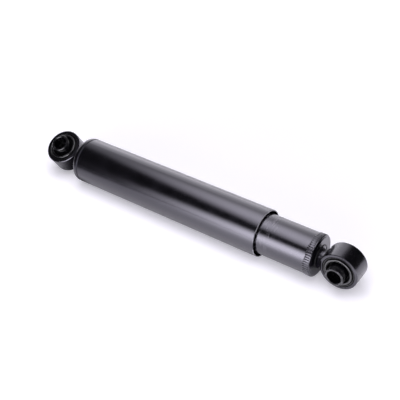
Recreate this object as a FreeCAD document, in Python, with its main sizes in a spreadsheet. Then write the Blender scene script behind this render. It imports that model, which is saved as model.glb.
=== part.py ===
import FreeCAD, Part
import os
import re
import Sketcher

os.makedirs("parts", exist_ok=True)
doc = FreeCAD.newDocument("shock_absorber")

# Driving sizes: millimetres, the roll between the two eyes in degrees, and counts.
sizes = {
    # Eye rings and their stems
    "eye_diameter": 65.5,
    "eye_width": 35.0,
    "eye_wall": 4.5,
    "eye_edge": 0.8,
    "eye_roll": 60.0,
    "stem_diameter": 29.0,
    "stem_flare": 4.0,
    "flare_edge": 1.0,
    "upper_neck": 13.4,
    # Rubber bushes and their steel sleeves
    "bolt_bore": 24.2,
    "sleeve_wall": 3.9,
    "sleeve_length": 64.0,
    "sleeve_edge": 0.8,
    "recess_depth": 7.0,
    "rib_width": 3.8,
    "rib_rise": 1.2,
    "rib_round": 1.0,
    "groove_width": 1.8,
    "groove_depth": 2.6,
    "bead_width": 1.8,
    "bead_margin": 0.8,
    "bead_drop": 0.4,
    "bead_round": 0.5,
    "bush_edge_drop": 1.8,
    # Tubes, from the piston outwards
    "piston_diameter": 45.0,
    "tube_wall": 2.0,
    "oil_gap": 8.0,
    "reserve_wall": 2.5,
    "dust_gap": 4.5,
    "dust_wall": 1.5,
    "dust_length": 379.0,
    "mouth_round": 1.2,
    # Base cap: a pressed cup let into the reserve tube, its flat crown towards the lower eye
    "rim_gap": 8.25,
    "rim_round": 1.5,
    "cap_proud": 1.0,
    "cap_round": 1.2,
    "cap_gauge": 4.0,
    "cap_height": 17.0,
    "cap_bend": 1.0,
    # Dust cap: a pressed cup whose joggled skirt sits in the dust tube
    "lid_gap": 4.0,
    "lid_gauge": 3.0,
    "lid_height": 13.0,
    "lid_lap": 12.0,
    "lid_bend": 6.0,
    "joint_edge": 0.8,
    # Travel
    "stroke": 275.0,
    "rest_extension": 81.0,
    "closed_gap": 7.0,
    "stop_gap": 0.5,
    # Fits between pieces that move on each other
    "running_clearance": 0.05,
    "seat_gap": 0.05,
    # Rod and piston
    "rod_diameter": 20.0,
    "rod_thread": 12.0,
    "rod_spigot": 16.0,
    "spigot_reach": 9.0,
    "rod_edge": 1.0,
    "thread_end": 4.0,
    "piston_height": 20.0,
    "piston_gap": 0.3,
    "piston_edge": 0.8,
    "band_width": 10.0,
    "band_wall": 1.6,
    "nut_flats": 19.0,
    "nut_height": 10.0,
    "washer_gauge": 2.5,
    "washer_land": 4.5,
    # Valves of the piston and the foot
    "disc_gauge": 0.5,
    "disc_count": 3,
    "disc_step": 1.6,
    "hub_land": 1.0,
    "inner_port": 3.2,
    "outer_port": 3.6,
    "port_land": 0.8,
    "outer_land": 2.4,
    "port_count": 6,
    "check_gauge": 1.0,
    "check_lift": 1.5,
    "keeper_gauge": 2.0,
    "star_notch": 6.0,
    "spring_gauge": 0.4,
    # Rebound stop
    "stop_offset": 2.5,
    "stop_height": 5.0,
    "stop_land": 4.5,
    "stop_seat": 0.8,
    "bumper_height": 11.0,
    "bumper_land": 6.5,
    "bumper_round": 2.0,
    # Foot valve
    "foot_flange": 4.0,
    "foot_spigot": 10.0,
    "foot_land": 2.5,
    "feet_wall": 4.0,
    "feet_slot": 14.0,
    "feet_count": 4,
    "rivet_diameter": 8.0,
    "rivet_head": 3.0,
    "rivet_head_land": 3.0,
    "rivet_round": 1.5,
    "rivet_clearance": 1.0,
    # Rod guide, seal and closing cover
    "guide_spigot": 9.0,
    "guide_flange": 12.0,
    "bush_wall": 1.5,
    "seal_width": 7.0,
    "seal_height": 8.0,
    "seal_web": 2.5,
    "lip_width": 2.4,
    "lip_reach": 5.0,
    "seal_jacket": 2.4,
    "garter_wire": 1.8,
    "ring_section": 3.0,
    "drain_hole": 3.0,
    "drain_count": 4,
    "cover_gauge": 3.5,
    "cover_clearance": 0.6,
    "roll_width": 6.0,
    "roll_bend": 3.0,
    # How far a cutting outline runs past the piece it cuts
    "cut_margin": 1.0,
}

# Sizes that follow from the driving ones. Radii come first, then heights, then places
# along the axis, counted from the lower eye's centre towards the upper eye.
derived = {
    "eye_radius": "eye_diameter / 2",
    "eye_bore": "eye_radius - eye_wall",
    "half_width": "eye_width / 2",
    "stem_radius": "stem_diameter / 2",
    "stem_foot": "stem_radius + stem_flare",
    "bolt_radius": "bolt_bore / 2",
    "sleeve_radius": "bolt_radius + sleeve_wall",
    "half_sleeve": "sleeve_length / 2",
    "bush_bore": "sleeve_radius + running_clearance",
    "bead_outer": "eye_bore - bead_margin",
    "bead_inner": "bead_outer - bead_width",
    "rib_radius": "bead_inner - groove_width",
    "recess_radius": "rib_radius - rib_width",
    "rib_level": "half_width + rib_rise",
    "recess_level": "half_width - recess_depth",
    "groove_level": "half_width - groove_depth",
    "bead_level": "half_width - bead_drop",
    "bush_edge_level": "half_width - bush_edge_drop",
    "tube_bore": "piston_diameter / 2",
    "tube_radius": "tube_bore + tube_wall",
    "reserve_bore": "tube_radius + oil_gap",
    "reserve_radius": "reserve_bore + reserve_wall",
    "roll_radius": "reserve_bore - roll_width",
    "dust_bore": "reserve_radius + dust_gap",
    "dust_radius": "dust_bore + dust_wall",
    "skirt_radius": "reserve_bore - cap_gauge",
    "lid_skirt_radius": "dust_bore - lid_gauge",
    "lid_wall_radius": "dust_radius - lid_gauge",
    "rod_radius": "rod_diameter / 2",
    "thread_radius": "rod_thread / 2",
    "spigot_radius": "rod_spigot / 2",
    "piston_radius": "tube_bore - piston_gap",
    "band_outer": "tube_bore - running_clearance",
    "band_inner": "band_outer - band_wall",
    "band_groove_radius": "band_inner - running_clearance",
    "band_start": "(piston_height - band_width) / 2",
    "band_end": "(piston_height + band_width) / 2",
    "nut_corner": "nut_flats / sqrt(3)",
    "washer_radius": "thread_radius + washer_land",
    "foot_washer_radius": "rivet_radius + washer_land",
    "hub_radius": "rod_radius + hub_land",
    "inner_circle": "hub_radius + port_land + inner_port / 2",
    "outer_circle": "piston_radius - outer_land - outer_port / 2",
    "disc_radius": "inner_circle + inner_port / 2 + port_land",
    "plate_bore": "hub_radius + running_clearance",
    "plate_radius": "outer_circle + outer_port / 2 + port_land",
    "stop_bore": "rod_radius - stop_seat",
    "stop_radius": "rod_radius + stop_land",
    "bumper_radius": "rod_radius + bumper_land",
    "rivet_radius": "rivet_diameter / 2",
    "rivet_head_radius": "rivet_radius + rivet_head_land",
    "flange_radius": "tube_radius + foot_land",
    "feet_radius": "flange_radius - feet_wall",
    "rod_running_bore": "rod_radius + running_clearance",
    "bush_seat_radius": "rod_running_bore + bush_wall",
    "pocket_radius": "rod_running_bore + seal_width",
    "lip_radius": "rod_running_bore + lip_width",
    "jacket_radius": "pocket_radius - seal_jacket",
    "garter_circle": "lip_radius + garter_wire / 2 + seat_gap",
    "ring_rebate_radius": "reserve_bore - ring_section",
    "ring_circle": "reserve_bore - ring_section / 2",
    "drain_circle": "(tube_radius + ring_rebate_radius) / 2",
    "cover_bore": "rod_radius + cover_clearance",
    "hub_height": "seat_gap + check_gauge + check_lift",
    "valve_stack": "hub_height + spring_gauge + keeper_gauge",
    "disc_stack": "disc_count * disc_gauge",
    "foot_feet": "disc_stack + washer_gauge + rivet_head + rivet_clearance",
    "foot_web": "foot_flange + foot_spigot",
    "rivet_grip": "washer_gauge + disc_stack + foot_web + valve_stack",
    "rivet_length": "rivet_grip + 2 * rivet_head",
    "guide_height": "guide_spigot + guide_flange",
    "seal_floor": "guide_height - seal_height",
    "lip_end": "seal_height - seal_web - lip_reach",
    "washer_up": "thread_end + nut_height",
    "piston_up": "washer_up + washer_gauge + disc_stack",
    "piston_top": "piston_up + piston_height",
    "rod_shoulder": "piston_top + valve_stack",
    "stop_up": "rod_shoulder + stop_offset",
    "bumper_up": "stop_up + stop_height",
    "bumper_top": "bumper_up + bumper_height",
    "base_rim": "eye_radius + rim_gap",
    "cap_face": "base_rim - cap_proud",
    "floor_place": "cap_face + cap_gauge",
    "foot_face": "floor_place + foot_feet",
    "tube_seat": "foot_face + foot_flange",
    "foot_top": "tube_seat + foot_spigot",
    "foot_end": "foot_top + valve_stack + rivet_head",
    "rod_tip": "foot_end + closed_gap + rest_extension",
    "guide_face": "rod_tip - rest_extension + stroke + bumper_top + stop_gap",
    "guide_seat": "guide_face + guide_spigot",
    "guide_top": "guide_seat + guide_flange",
    "reserve_end": "guide_top + cover_gauge + reserve_wall",
    "reserve_length": "reserve_end - base_rim",
    "lid_inside": "reserve_end + lid_gap + rest_extension",
    "lid_outside": "lid_inside + lid_gauge",
    "dust_end": "lid_outside - lid_height",
    "dust_mouth": "dust_end - dust_length",
    "upper_reach": "eye_radius + upper_neck",
    "upper_eye_place": "lid_outside + upper_reach",
    "rod_length": "lid_outside + spigot_reach - rod_tip",
    "spigot_up": "rod_length - spigot_reach - lid_gauge",
}

sheet = doc.addObject("Spreadsheet::Sheet", "Sizes")
cells = {name: str(value) for name, value in sizes.items()}
cells.update({name: f"={formula}" for name, formula in derived.items()})
for row, (name, content) in enumerate(cells.items(), start=1):
    sheet.set(f"A{row}", name)
    sheet.set(f"B{row}", content)
    sheet.setAlias(f"B{row}", name)
doc.recompute()

LEVEL_WITH_ORIGIN = {"DistanceX": "Vertical", "DistanceY": "Horizontal"}
EDGE_MATCH = 0.001
pieces = []


def tied(formula):
    """The formula with each size name pointed at its cell in the sheet."""
    return re.sub(r"\b([a-z]\w*)\b", r"Sizes.\1", formula)


def amount(formula):
    """What the formula comes to with the sizes in the sheet."""
    return float(sheet.evalExpression(formula))


def start_body(label, place):
    """An empty body, set along the shock absorber's axis at the given place."""
    body = doc.addObject("PartDesign::Body", label)
    body.Label = label
    body.setExpression("Placement.Base.x", tied(place))
    pieces.append(body)
    return body


def start_sketch(body, name, role):
    """An empty sketch on one of the body's own origin planes."""
    sketch = body.newObject("Sketcher::SketchObject", f"{body.Label}_{name}")
    plane = next(each for each in body.Origin.OriginFeatures if each.Role == role)
    sketch.AttachmentSupport = [(plane, "")]
    sketch.MapMode = "FlatFace"
    return sketch


def hold_point(sketch, geometry, end, corner):
    """Holds one sketch point at two size formulas from the sketch's origin."""
    for (kind, level), formula in zip(LEVEL_WITH_ORIGIN.items(), corner):
        if formula == "0":
            sketch.addConstraint(Sketcher.Constraint(level, -1, 1, geometry, end))
            continue
        distance = Sketcher.Constraint(kind, -1, 1, geometry, end, amount(formula))
        number = sketch.addConstraint(distance)
        sketch.setExpression(f"Constraints[{number}]", tied(formula))


def draw_outline(sketch, corners):
    """A closed outline whose corners are pairs of size formulas."""
    points = [FreeCAD.Vector(amount(first), amount(second), 0) for first, second in corners]
    total = len(points)
    for number, point in enumerate(points):
        sketch.addGeometry(Part.LineSegment(point, points[(number + 1) % total]), False)
    for number in range(total):
        joined = Sketcher.Constraint("Coincident", number, 2, (number + 1) % total, 1)
        sketch.addConstraint(joined)
    for number, corner in enumerate(corners):
        hold_point(sketch, number, 1, corner)


def draw_circle(sketch, centre, radius):
    """A circle whose centre and radius are size formulas."""
    middle = FreeCAD.Vector(amount(centre[0]), amount(centre[1]), 0)
    circle = Part.Circle(middle, FreeCAD.Vector(0, 0, 1), amount(radius))
    number = sketch.addGeometry(circle, False)
    hold_point(sketch, number, 3, centre)
    rule = sketch.addConstraint(Sketcher.Constraint("Radius", number, amount(radius)))
    sketch.setExpression(f"Constraints[{rule}]", tied(radius))


def turn(body, name, kind, corners, plane="XZ_Plane", axis="H_Axis"):
    """Turns an outline about the body's axis, to add (Revolution) or to cut (Groove)."""
    sketch = start_sketch(body, f"{name}_outline", plane)
    draw_outline(sketch, corners)
    feature = body.newObject(f"PartDesign::{kind}", f"{body.Label}_{name}")
    feature.Profile = sketch
    feature.ReferenceAxis = (sketch, [axis])
    doc.recompute()


def turned(label, place, corners):
    """A body turned about the shock absorber's axis, from (along, out) corners."""
    body = start_body(label, place)
    turn(body, "turned", "Revolution", corners)
    return body


def turned_across(label, place, corners):
    """A body turned about the axis of an eye, from (out, along) corners."""
    body = start_body(label, place)
    turn(body, "turned", "Revolution", corners, "XY_Plane", "V_Axis")
    return body


def ring(label, place, bore, radius, height):
    """A plain ring: a tube, a washer or a disc."""
    return turned(label, place, [("0", bore), ("0", radius), (height, radius), (height, bore)])


def round_edge_names(body, along, out):
    """The body's circular edges at a place along its axis and a distance out from it."""
    names = []
    for number, edge in enumerate(body.Tip.Shape.Edges, start=1):
        curve = edge.Curve
        if not isinstance(curve, Part.Circle):
            continue
        off_place = abs(curve.Center.x + curve.Center.y - amount(along))
        off_radius = abs(curve.Radius - amount(out))
        if max(off_place, off_radius) < EDGE_MATCH:
            names.append(f"Edge{number}")
    assert names, f"no edge of {body.Label} at {along}, {out}"
    return names


def dress(body, name, kind, measure, formula, places):
    """Fillets (by Radius) or chamfers (by Size) the circular edges at these places."""
    names = [each for along, out in places for each in round_edge_names(body, along, out)]
    base = body.Tip
    feature = body.newObject(f"PartDesign::{kind}", f"{body.Label}_{name}")
    feature.Base = (base, names)
    feature.setExpression(measure, tied(formula))
    doc.recompute()


def fillet(body, name, radius, places):
    dress(body, name, "Fillet", "Radius", radius, places)


def chamfer(body, name, width, places):
    dress(body, name, "Chamfer", "Size", width, places)


def cut_through(body, sketch, name):
    """Cuts a sketch right through the body, both ways."""
    before = body.Shape.Volume
    pocket = body.newObject("PartDesign::Pocket", f"{body.Label}_{name}")
    pocket.Profile = sketch
    pocket.Type = "ThroughAll"
    pocket.SideType = "Symmetric"
    doc.recompute()
    assert body.Shape.Volume < before, f"{name} cut nothing from {body.Label}"
    return pocket


def repeat(body, cut, count):
    """Repeats a cut evenly about the shock absorber's axis."""
    before = body.Shape.Volume
    pattern = body.newObject("PartDesign::PolarPattern", f"{cut.Label}_pattern")
    pattern.Originals = [cut]
    pattern.Axis = (cut.Profile[0], ["N_Axis"])
    pattern.setExpression("Occurrences", tied(count))
    body.Tip = pattern
    doc.recompute()
    assert body.Shape.Volume < before, f"{cut.Label} isn't repeated"


def drill(body, name, centre, diameter, count):
    """Round holes right through the body, evenly spaced about the shock absorber's axis."""
    sketch = start_sketch(body, f"{name}_circle", "YZ_Plane")
    draw_circle(sketch, centre, f"{diameter} / 2")
    repeat(body, cut_through(body, sketch, name), count)


def roll(body):
    """Turns a piece of the upper eye about the shock absorber's axis."""
    along = FreeCAD.Vector(1, 0, 0)
    body.Placement = FreeCAD.Placement(FreeCAD.Vector(), FreeCAD.Rotation(along, amount("eye_roll")))
    body.setExpression("Placement.Rotation.Angle", tied("eye_roll"))


def eye(label, place, reach, side=""):
    """An eye ring with a stem to one side, flared where it is welded to its cap."""
    body = start_body(label, place)
    disc = start_sketch(body, "disc", "XZ_Plane")
    draw_circle(disc, ("0", "0"), "eye_radius")
    pad = body.newObject("PartDesign::Pad", f"{label}_pad")
    pad.Profile = disc
    pad.SideType = "Symmetric"
    pad.setExpression("Length", tied("eye_width"))
    doc.recompute()
    chamfer(body, "edge", "eye_edge", [(f"{end}half_width", "eye_radius") for end in ("", "-")])
    foot = f"{side}{reach}"
    flare = f"{side}({reach} - flare_edge)"
    turn(body, "stem", "Revolution", [
        ("0", "0"),
        ("0", "stem_radius"),
        (flare, "stem_radius"),
        (flare, "stem_foot"),
        (foot, "stem_foot"),
        (foot, "0"),
    ])
    fillet(body, "weld", "stem_flare - flare_edge / 2", [(flare, "stem_radius")])
    bore = start_sketch(body, "bore_circle", "XZ_Plane")
    draw_circle(bore, ("0", "0"), "eye_bore")
    cut_through(body, bore, "bore")
    return body


def bush(label, place):
    """A rubber bush: at each end a raised rib beside an inner recess, then a groove and a low bead."""
    near_end = [
        ("bush_bore", "recess_level"),
        ("recess_radius", "recess_level"),
        ("recess_radius", "rib_level"),
        ("rib_radius", "rib_level"),
        ("rib_radius", "groove_level"),
        ("bead_inner", "groove_level"),
        ("bead_inner", "bead_level"),
        ("bead_outer", "bead_level"),
        ("eye_bore", "bush_edge_level"),
    ]
    far_end = [(out, f"-{level}") for out, level in reversed(near_end)]
    body = turned_across(label, place, near_end + far_end)
    ends = ("", "-")
    rib_sides = ("recess_radius", "rib_radius")
    fillet(body, "rib", "rib_round", [(f"{end}rib_level", out) for end in ends for out in rib_sides])
    bead_sides = ("bead_inner", "bead_outer")
    fillet(body, "bead", "bead_round", [(f"{end}bead_level", out) for end in ends for out in bead_sides])
    return body


def sleeve(label, place):
    """A plain steel sleeve, chamfered inside and out at both ends."""
    body = turned_across(label, place, [
        ("bolt_radius", "-half_sleeve"),
        ("sleeve_radius", "-half_sleeve"),
        ("sleeve_radius", "half_sleeve"),
        ("bolt_radius", "half_sleeve"),
    ])
    corners = ("bolt_radius", "sleeve_radius")
    chamfer(body, "edge", "sleeve_edge", [(f"{end}half_sleeve", out) for end in ("", "-") for out in corners])
    return body


def disc_pack(label, seat, bore):
    """Thin valve discs under a seat, each smaller than the one above it."""
    for number in range(int(amount("disc_count"))):
        place = f"{seat} - {number + 1} * disc_gauge"
        ring(f"{label}_{number + 1}", place, bore, f"disc_radius - {number} * disc_step", "disc_gauge")


def check_valve(name, seat, bore):
    """A lifting plate on its seat, the star spring that returns it and the keeper above."""
    plate = ring(f"{name}_check_plate", f"{seat} + seat_gap", "plate_bore", "plate_radius", "check_gauge")
    drill(plate, "inlet", ("0", "inner_circle"), "inner_port", "port_count")
    star = turned(f"{name}_check_spring", f"{seat} + hub_height", [
        ("0", bore),
        ("spring_gauge", bore),
        ("spring_gauge", "hub_radius"),
        ("spring_gauge + seat_gap - check_lift", "outer_circle"),
        ("seat_gap - check_lift", "outer_circle"),
        ("0", "hub_radius"),
    ])
    drill(star, "notch", ("0", "outer_circle"), "star_notch", "port_count")
    keeper_place = f"{seat} + hub_height + spring_gauge"
    keeper = ring(f"{name}_keeper", keeper_place, bore, "outer_circle", "keeper_gauge")
    drill(keeper, "notch", ("0", "outer_circle"), "star_notch", "port_count")


def drill_ports(body):
    """Outer ports under the check plate and inner ports over the disc pack, set between them."""
    drill(body, "outer_ports", ("outer_circle", "0"), "outer_port", "port_count")
    drill(body, "inner_ports", ("0", "inner_circle"), "inner_port", "port_count")


def torus(label, place, circle, section):
    """A ring of round section about the shock absorber's axis."""
    body = doc.addObject("Part::Torus", label)
    body.Label = label
    body.setExpression("Radius1", tied(circle))
    body.setExpression("Radius2", tied(section))
    across = FreeCAD.Rotation(FreeCAD.Vector(0, 0, 1), FreeCAD.Vector(1, 0, 0))
    body.Placement = FreeCAD.Placement(FreeCAD.Vector(), across)
    body.setExpression("Placement.Base.x", tied(place))
    pieces.append(body)


# Lower end: eye, rubber bush and sleeve.
eye("lower_eye", "0", "cap_face")
bush("lower_bush", "0")
sleeve("lower_sleeve", "0")

# Base cap: the flat crown takes the eye's stem outside and the foot valve's feet inside,
# and the skirt stands in the reserve tube.
base_cap = turned("base_cap", "cap_face", [
    ("0", "0"),
    ("0", "reserve_bore"),
    ("cap_height", "reserve_bore"),
    ("cap_height", "skirt_radius"),
    ("cap_gauge", "skirt_radius"),
    ("cap_gauge", "0"),
])
fillet(base_cap, "outer_bend", "cap_round", [("0", "reserve_bore")])
fillet(base_cap, "inner_bend", "cap_bend", [("cap_gauge", "skirt_radius")])

# Reserve tube: welded round the base cap, its top edge rolled in over the closing cover.
reserve_tube = turned("reserve_tube", "base_rim", [
    ("0", "reserve_bore"),
    ("0", "reserve_radius"),
    ("reserve_length", "reserve_radius"),
    ("reserve_length", "roll_radius"),
    ("reserve_length - reserve_wall", "roll_radius"),
    ("reserve_length - reserve_wall", "reserve_bore"),
])
fillet(reserve_tube, "rolled_edge", "roll_bend", [("reserve_length", "reserve_radius")])
fillet(reserve_tube, "rim", "rim_round", [("0", "reserve_radius")])

# Foot valve: a ported plug on feet, slotted so that oil passes under it.
foot_valve_body = turned("foot_valve_body", "floor_place", [
    ("0", "feet_radius"),
    ("0", "flange_radius"),
    ("foot_feet + foot_flange", "flange_radius"),
    ("foot_feet + foot_flange", "tube_bore"),
    ("foot_feet + foot_web", "tube_bore"),
    ("foot_feet + foot_web", "hub_radius"),
    ("foot_feet + foot_web + hub_height", "hub_radius"),
    ("foot_feet + foot_web + hub_height", "rivet_radius"),
    ("foot_feet", "rivet_radius"),
    ("foot_feet", "feet_radius"),
])
drill_ports(foot_valve_body)
slot_sketch = start_sketch(foot_valve_body, "slot_outline", "YZ_Plane")
draw_outline(slot_sketch, [
    ("feet_radius - cut_margin", "-feet_slot / 2"),
    ("flange_radius + cut_margin", "-feet_slot / 2"),
    ("flange_radius + cut_margin", "feet_slot / 2"),
    ("feet_radius - cut_margin", "feet_slot / 2"),
])
unslotted = foot_valve_body.Shape.Volume
slot = foot_valve_body.newObject("PartDesign::Pocket", "foot_valve_body_slot")
slot.Profile = slot_sketch
slot.Reversed = True
slot.setExpression("Length", tied("foot_feet"))
doc.recompute()
assert foot_valve_body.Shape.Volume < unslotted, "the feet aren't slotted"
repeat(foot_valve_body, slot, "feet_count")
disc_pack("foot_disc", "foot_face", "rivet_radius")
foot_washer_place = "foot_face - disc_stack - washer_gauge"
ring("foot_washer", foot_washer_place, "rivet_radius", "foot_washer_radius", "washer_gauge")
check_valve("foot", "foot_top", "rivet_radius")
foot_rivet = turned("foot_rivet", "foot_end - rivet_length", [
    ("0", "0"),
    ("0", "rivet_head_radius"),
    ("rivet_head", "rivet_head_radius"),
    ("rivet_head", "rivet_radius"),
    ("rivet_head + rivet_grip", "rivet_radius"),
    ("rivet_head + rivet_grip", "rivet_head_radius"),
    ("rivet_length", "rivet_head_radius"),
    ("rivet_length", "0"),
])
fillet(foot_rivet, "heads", "rivet_round", [(end, "rivet_head_radius") for end in ("0", "rivet_length")])

# Pressure tube, held between the foot valve's flange and the rod guide.
ring("pressure_tube", "tube_seat", "tube_bore", "tube_radius", "guide_seat - tube_seat")

# Rod guide, with its bush, the lip seal in its pocket and the ring in its rebate.
rod_guide = turned("rod_guide", "guide_face", [
    ("0", "bush_seat_radius"),
    ("0", "tube_bore"),
    ("guide_spigot", "tube_bore"),
    ("guide_spigot", "reserve_bore"),
    ("guide_height - ring_section", "reserve_bore"),
    ("guide_height - ring_section", "ring_rebate_radius"),
    ("guide_height", "ring_rebate_radius"),
    ("guide_height", "pocket_radius"),
    ("seal_floor", "pocket_radius"),
    ("seal_floor", "bush_seat_radius"),
])
drill(rod_guide, "drains", ("drain_circle", "0"), "drain_hole", "drain_count")
ring("guide_bush", "guide_face", "rod_running_bore", "bush_seat_radius", "seal_floor")
turned("rod_seal", "guide_top - seal_height", [
    ("0", "jacket_radius"),
    ("0", "pocket_radius"),
    ("seal_height", "pocket_radius"),
    ("seal_height", "rod_running_bore"),
    ("lip_end", "rod_running_bore"),
    ("lip_end", "lip_radius"),
    ("seal_height - seal_web", "lip_radius"),
    ("seal_height - seal_web", "jacket_radius"),
])
torus("seal_spring", "guide_top - seal_web - lip_reach / 2", "garter_circle", "garter_wire / 2")
torus("guide_ring", "guide_top - ring_section / 2", "ring_circle", "ring_section / 2 - seat_gap")
ring("closing_cover", "guide_top", "cover_bore", "reserve_bore", "cover_gauge")

# Piston rod: threaded spigot for the piston, groove for the rebound stop, and an upper
# spigot that passes through the dust cap into the upper eye's stem.
piston_rod = turned("piston_rod", "rod_tip", [
    ("0", "0"),
    ("0", "thread_radius"),
    ("rod_shoulder", "thread_radius"),
    ("rod_shoulder", "rod_radius"),
    ("stop_up", "rod_radius"),
    ("stop_up", "stop_bore"),
    ("bumper_up", "stop_bore"),
    ("bumper_up", "rod_radius"),
    ("spigot_up", "rod_radius"),
    ("spigot_up", "spigot_radius"),
    ("rod_length", "spigot_radius"),
    ("rod_length", "0"),
])
chamfer(piston_rod, "ends", "rod_edge", [("0", "thread_radius"), ("rod_length", "spigot_radius")])

# Piston: grooved for its band, ported, with a hub that guides the check plate.
piston = turned("piston", "rod_tip + piston_up", [
    ("0", "thread_radius"),
    ("0", "piston_radius"),
    ("band_start", "piston_radius"),
    ("band_start", "band_groove_radius"),
    ("band_end", "band_groove_radius"),
    ("band_end", "piston_radius"),
    ("piston_height", "piston_radius"),
    ("piston_height", "hub_radius"),
    ("piston_height + hub_height", "hub_radius"),
    ("piston_height + hub_height", "thread_radius"),
])
chamfer(piston, "edges", "piston_edge", [("0", "piston_radius"), ("piston_height", "piston_radius")])
drill_ports(piston)
band_place = "rod_tip + piston_up + band_start + running_clearance"
ring("piston_band", band_place, "band_inner", "band_outer", "band_width - 2 * running_clearance")
disc_pack("rebound_disc", "rod_tip + piston_up", "thread_radius")
ring("rebound_washer", "rod_tip + washer_up", "thread_radius", "washer_radius", "washer_gauge")
check_valve("piston", "rod_tip + piston_top", "thread_radius")

# Piston nut: a hexagon with its corners turned off at the free end.
piston_nut = start_body("piston_nut", "rod_tip + thread_end")
hexagon = start_sketch(piston_nut, "hexagon", "YZ_Plane")
draw_outline(hexagon, [
    ("nut_corner", "0"),
    ("nut_corner / 2", "nut_flats / 2"),
    ("-nut_corner / 2", "nut_flats / 2"),
    ("-nut_corner", "0"),
    ("-nut_corner / 2", "-nut_flats / 2"),
    ("nut_corner / 2", "-nut_flats / 2"),
])
draw_circle(hexagon, ("0", "0"), "thread_radius")
nut_pad = piston_nut.newObject("PartDesign::Pad", "piston_nut_pad")
nut_pad.Profile = hexagon
nut_pad.setExpression("Length", tied("nut_height"))
doc.recompute()
turn(piston_nut, "corners", "Groove", [
    ("0", "nut_flats / 2"),
    ("0", "nut_corner + cut_margin"),
    ("(nut_corner + cut_margin - nut_flats / 2) / 2", "nut_corner + cut_margin"),
])

# Rebound stop and its bumper, above the piston.
ring("rebound_stop", "rod_tip + stop_up", "stop_bore", "stop_radius", "stop_height")
bumper = ring("rebound_bumper", "rod_tip + bumper_up", "rod_radius", "bumper_radius", "bumper_height")
fillet(bumper, "edges", "bumper_round", [("0", "bumper_radius"), ("bumper_height", "bumper_radius")])

# Dust tube and the cap that closes it, clamped on the rod's upper shoulder. Their meeting
# edges are chamfered for the weld.
dust_tube = ring("dust_tube", "dust_mouth", "dust_bore", "dust_radius", "dust_length")
fillet(dust_tube, "mouth", "mouth_round", [("0", "dust_radius")])
chamfer(dust_tube, "joint", "joint_edge", [("dust_length", "dust_radius")])
dust_cap = turned("dust_cap", "dust_end", [
    ("-lid_lap", "lid_skirt_radius"),
    ("-lid_lap", "dust_bore"),
    ("0", "dust_bore"),
    ("0", "dust_radius"),
    ("lid_height", "dust_radius"),
    ("lid_height", "spigot_radius"),
    ("lid_height - lid_gauge", "spigot_radius"),
    ("lid_height - lid_gauge", "lid_wall_radius"),
    ("lid_gauge", "lid_wall_radius"),
    ("0", "lid_skirt_radius"),
])
fillet(dust_cap, "shoulder", "lid_bend + lid_gauge", [("lid_height", "dust_radius")])
fillet(dust_cap, "inner_bend", "lid_bend", [("lid_height - lid_gauge", "lid_wall_radius")])
chamfer(dust_cap, "joint", "joint_edge", [("0", "dust_radius")])

# Upper end: eye, rubber bush and sleeve, rolled about the axis. The eye's stem is
# bored for the rod's spigot.
upper_eye = eye("upper_eye", "upper_eye_place", "upper_reach", "-")
turn(upper_eye, "socket", "Groove", [
    ("-upper_reach", "0"),
    ("-upper_reach", "spigot_radius"),
    ("spigot_reach - upper_reach", "spigot_radius"),
    ("spigot_reach - upper_reach", "0"),
])
roll(upper_eye)
roll(bush("upper_bush", "upper_eye_place"))
roll(sleeve("upper_sleeve", "upper_eye_place"))

doc.recompute()
for each in doc.Objects:
    assert not {"Invalid", "Error"} & set(each.State), f"{each.Label} failed: {each.State}"
for piece in pieces:
    assert not piece.Shape.isNull() and piece.Shape.isValid(), f"{piece.Label} has no valid shape"
for piece in pieces:
    piece.Shape.exportStep(f"parts/{piece.Label}.step")
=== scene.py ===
import math
import bmesh
import bpy
from mathutils import Matrix, Quaternion, Vector
from mathutils import noise as unevenness


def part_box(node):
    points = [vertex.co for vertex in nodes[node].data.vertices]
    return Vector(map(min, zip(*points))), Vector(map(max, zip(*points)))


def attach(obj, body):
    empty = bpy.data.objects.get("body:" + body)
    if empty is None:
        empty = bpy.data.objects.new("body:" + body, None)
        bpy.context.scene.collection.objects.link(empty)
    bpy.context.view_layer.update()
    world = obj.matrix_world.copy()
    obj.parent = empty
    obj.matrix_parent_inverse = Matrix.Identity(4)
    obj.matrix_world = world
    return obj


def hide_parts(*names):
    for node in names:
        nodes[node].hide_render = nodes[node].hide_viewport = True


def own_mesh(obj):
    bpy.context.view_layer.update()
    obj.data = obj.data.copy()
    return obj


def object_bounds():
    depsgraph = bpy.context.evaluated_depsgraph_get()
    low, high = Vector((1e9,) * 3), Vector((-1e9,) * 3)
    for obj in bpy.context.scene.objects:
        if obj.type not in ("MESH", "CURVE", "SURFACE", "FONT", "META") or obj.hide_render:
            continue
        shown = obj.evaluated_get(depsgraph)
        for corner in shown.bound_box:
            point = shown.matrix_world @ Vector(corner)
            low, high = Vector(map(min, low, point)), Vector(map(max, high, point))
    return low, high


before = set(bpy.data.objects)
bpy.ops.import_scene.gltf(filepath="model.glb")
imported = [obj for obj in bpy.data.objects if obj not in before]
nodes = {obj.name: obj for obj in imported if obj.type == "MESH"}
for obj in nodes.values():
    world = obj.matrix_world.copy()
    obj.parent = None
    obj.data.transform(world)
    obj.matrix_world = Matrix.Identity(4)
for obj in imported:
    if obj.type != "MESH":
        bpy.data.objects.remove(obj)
cad_low, cad_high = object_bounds()


# Valve discs, springs, plates and washers: stamped from hardened strip steel and stacked on the
# rivet of the foot valve or under the nut of the piston. The strip is rolled bright, so it has
# fine lines one way and soft blotches of oil stain, as has the wire of the seal's spring.
def feed(tree, socket, value):
    """Sets a socket to a plain value, or links another node's output to it."""
    if isinstance(value, bpy.types.NodeSocket):
        tree.links.new(value, socket)
    else:
        socket.default_value = value


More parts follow.
